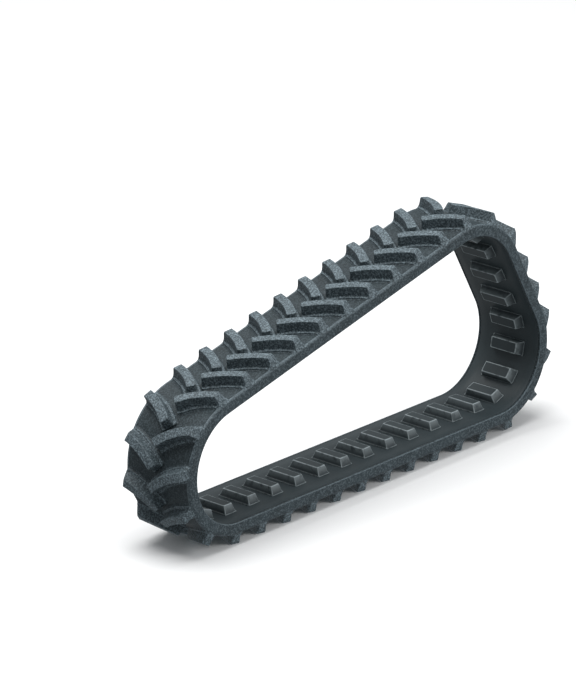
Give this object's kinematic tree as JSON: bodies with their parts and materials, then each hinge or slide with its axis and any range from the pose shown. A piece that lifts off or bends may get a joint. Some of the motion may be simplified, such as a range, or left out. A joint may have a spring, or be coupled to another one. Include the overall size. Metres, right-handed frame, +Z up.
{
  "type": "rubber track",
  "caption": "Endless moulded rubber crawler track with a staggered chevron tread outside and transverse drive bars inside, shaped round an idler, a rear wheel and a raised sprocket.",
  "frame": {"origin": "on the ground, under the middle of the whole track's length and width", "axes": "+X along the track towards the raised sprocket end, +Y across the belt to its left side, +Z up"},
  "size_m": [1.0952, 0.16, 0.484],
  "materials": {
    "tread_rubber": "rough, sandy grain",
    "edge_rubber": "rough, fine grain",
    "inner_rubber": "smooth satin",
    "cushion_gum": "matt",
    "ply_fabric": "rubbered weave",
    "cord_steel": "brass-coated strand",
    "rod_composite": "glass-fibre rod"
  },
  "bodies": {
    "root": {"drive_bar_01": "inner_rubber", "drive_bar_02": "inner_rubber", "drive_bar_03": "inner_rubber", "drive_bar_04": "inner_rubber", "drive_bar_05": "inner_rubber", "drive_bar_06": "inner_rubber", "drive_bar_07": "inner_rubber", "drive_bar_08": "inner_rubber", "drive_bar_09": "inner_rubber", "drive_bar_10": "inner_rubber", "drive_bar_11": "inner_rubber", "drive_bar_12": "inner_rubber", "drive_bar_13": "inner_rubber", "drive_bar_14": "inner_rubber", "drive_bar_15": "inner_rubber", "drive_bar_16": "inner_rubber", "drive_bar_17": "inner_rubber", "drive_bar_18": "inner_rubber", "drive_bar_19": "inner_rubber", "drive_bar_20": "inner_rubber", "drive_bar_21": "inner_rubber", "drive_bar_22": "inner_rubber", "drive_bar_23": "inner_rubber", "drive_bar_24": "inner_rubber", "drive_bar_25": "inner_rubber", "drive_bar_26": "inner_rubber", "drive_bar_27": "inner_rubber", "drive_bar_28": "inner_rubber", "drive_bar_29": "inner_rubber", "drive_bar_30": "inner_rubber", "drive_bar_31": "inner_rubber", "drive_bar_32": "inner_rubber", "drive_bar_33": "inner_rubber", "drive_bar_34": "inner_rubber", "drive_bar_35": "inner_rubber", "drive_bar_36": "inner_rubber", "drive_bar_37": "inner_rubber", "edge_strip_left": "edge_rubber", "edge_strip_right": "edge_rubber", "inner_cover": "inner_rubber", "inner_cushion": "cushion_gum", "inner_ply": "ply_fabric", "outer_cover": "tread_rubber", "outer_cushion": "cushion_gum", "outer_ply": "ply_fabric", "steel_cords_left": "cord_steel", "steel_cords_right": "cord_steel", "stiffener_rods": "rod_composite", "tread_lugs_bottom_run_left": "tread_rubber", "tread_lugs_bottom_run_right": "tread_rubber", "tread_lugs_front_wrap_left": "tread_rubber", "tread_lugs_front_wrap_right": "tread_rubber", "tread_lugs_rear_curve_left": "tread_rubber", "tread_lugs_rear_curve_right": "tread_rubber", "tread_lugs_rear_rise_left": "tread_rubber", "tread_lugs_rear_rise_right": "tread_rubber", "tread_lugs_sprocket_wrap_left": "tread_rubber", "tread_lugs_sprocket_wrap_right": "tread_rubber", "tread_lugs_top_run_left": "tread_rubber", "tread_lugs_top_run_right": "tread_rubber"}
  },
  "joints": []
}
